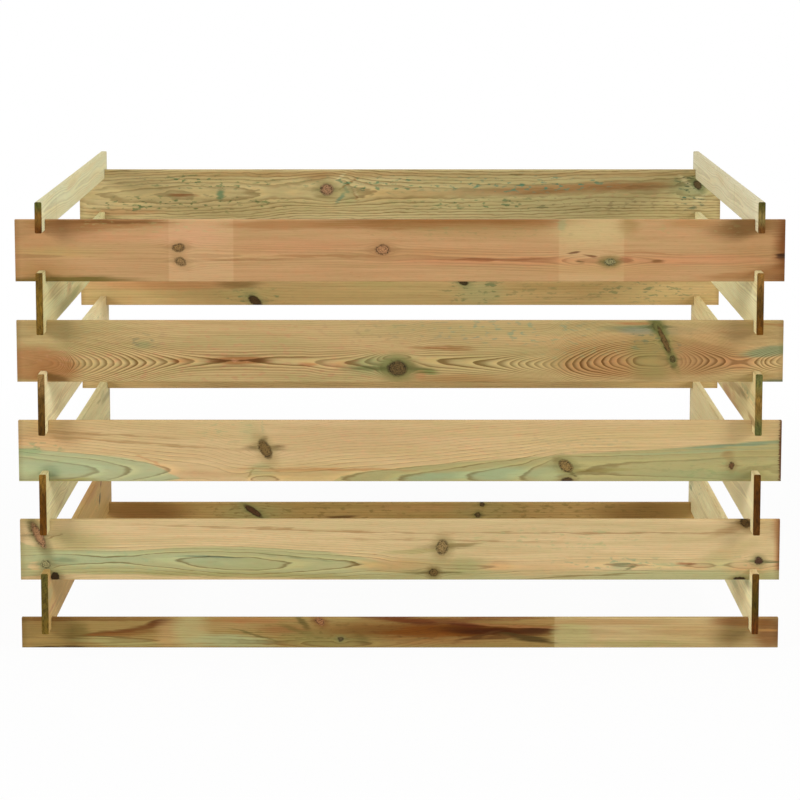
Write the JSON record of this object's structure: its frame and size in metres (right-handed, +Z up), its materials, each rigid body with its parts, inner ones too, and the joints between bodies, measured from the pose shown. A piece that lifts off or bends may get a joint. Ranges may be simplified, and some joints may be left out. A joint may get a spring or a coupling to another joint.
{
  "type": "slatted compost bin",
  "caption": "Open-topped garden compost bin of planed softwood boards, notched near their ends and stacked crosswise so the corners interlock without fixings.",
  "frame": {"origin": "on the ground, in the middle of the footprint", "axes": "+X along the front boards to the viewer's right, +Y from the front wall to the back wall, +Z up"},
  "size_m": [1.2, 1, 0.7137],
  "materials": {
    "pinkish_pine": "satin",
    "olive_pine": "satin",
    "pale_pine": "satin",
    "brown_pine": "satin"
  },
  "bodies": {
    "ground_course": {"front_board_1": "brown_pine", "back_board_1": "brown_pine"},
    "left_1": {"left_board_1": "pale_pine"},
    "right_1": {"right_board_1": "pale_pine"},
    "front_2": {"front_board_2": "pale_pine"},
    "back_2": {"back_board_2": "pale_pine"},
    "left_2": {"left_board_2": "pale_pine"},
    "right_2": {"right_board_2": "pale_pine"},
    "front_3": {"front_board_3": "pale_pine"},
    "back_3": {"back_board_3": "pale_pine"},
    "left_3": {"left_board_3": "pale_pine"},
    "right_3": {"right_board_3": "pale_pine"},
    "front_4": {"front_board_4": "olive_pine"},
    "back_4": {"back_board_4": "olive_pine"},
    "left_4": {"left_board_4": "pale_pine"},
    "right_4": {"right_board_4": "pale_pine"},
    "front_5": {"front_board_5": "pinkish_pine"},
    "back_5": {"back_board_5": "olive_pine"},
    "left_5": {"left_board_5": "pale_pine"},
    "right_5": {"right_board_5": "pale_pine"}
  },
  "joints": [
    {"name": "left_1_lift", "type": "slide", "parent": "ground_course", "child": "left_1", "axis": [0, 0, 1], "range_m": [0, 0.03]},
    {"name": "right_1_lift", "type": "slide", "parent": "ground_course", "child": "right_1", "axis": [0, 0, 1], "range_m": [0, 0.03]},
    {"name": "front_2_lift", "type": "slide", "parent": "left_1", "child": "front_2", "axis": [0, 0, 1], "range_m": [0, 0.03]},
    {"name": "back_2_lift", "type": "slide", "parent": "left_1", "child": "back_2", "axis": [0, 0, 1], "range_m": [0, 0.03]},
    {"name": "left_2_lift", "type": "slide", "parent": "front_2", "child": "left_2", "axis": [0, 0, 1], "range_m": [0, 0.03]},
    {"name": "right_2_lift", "type": "slide", "parent": "front_2", "child": "right_2", "axis": [0, 0, 1], "range_m": [0, 0.03]},
    {"name": "front_3_lift", "type": "slide", "parent": "left_2", "child": "front_3", "axis": [0, 0, 1], "range_m": [0, 0.03]},
    {"name": "back_3_lift", "type": "slide", "parent": "left_2", "child": "back_3", "axis": [0, 0, 1], "range_m": [0, 0.03]},
    {"name": "left_3_lift", "type": "slide", "parent": "front_3", "child": "left_3", "axis": [0, 0, 1], "range_m": [0, 0.03]},
    {"name": "right_3_lift", "type": "slide", "parent": "front_3", "child": "right_3", "axis": [0, 0, 1], "range_m": [0, 0.03]},
    {"name": "front_4_lift", "type": "slide", "parent": "left_3", "child": "front_4", "axis": [0, 0, 1], "range_m": [0, 0.03]},
    {"name": "back_4_lift", "type": "slide", "parent": "left_3", "child": "back_4", "axis": [0, 0, 1], "range_m": [0, 0.03]},
    {"name": "left_4_lift", "type": "slide", "parent": "front_4", "child": "left_4", "axis": [0, 0, 1], "range_m": [0, 0.03]},
    {"name": "right_4_lift", "type": "slide", "parent": "front_4", "child": "right_4", "axis": [0, 0, 1], "range_m": [0, 0.03]},
    {"name": "front_5_lift", "type": "slide", "parent": "left_4", "child": "front_5", "axis": [0, 0, 1], "range_m": [0, 0.03]},
    {"name": "back_5_lift", "type": "slide", "parent": "left_4", "child": "back_5", "axis": [0, 0, 1], "range_m": [0, 0.03]},
    {"name": "left_5_lift", "type": "slide", "parent": "front_5", "child": "left_5", "axis": [0, 0, 1], "range_m": [0, 0.03]},
    {"name": "right_5_lift", "type": "slide", "parent": "front_5", "child": "right_5", "axis": [0, 0, 1], "range_m": [0, 0.03]}
  ],
  "couplings": [
    {"joint": "right_1_lift", "follows": "left_1_lift", "ratio": 1},
    {"joint": "back_2_lift", "follows": "front_2_lift", "ratio": 1},
    {"joint": "right_2_lift", "follows": "left_2_lift", "ratio": 1},
    {"joint": "back_3_lift", "follows": "front_3_lift", "ratio": 1},
    {"joint": "right_3_lift", "follows": "left_3_lift", "ratio": 1},
    {"joint": "back_4_lift", "follows": "front_4_lift", "ratio": 1},
    {"joint": "right_4_lift", "follows": "left_4_lift", "ratio": 1},
    {"joint": "back_5_lift", "follows": "front_5_lift", "ratio": 1}
  ]
}
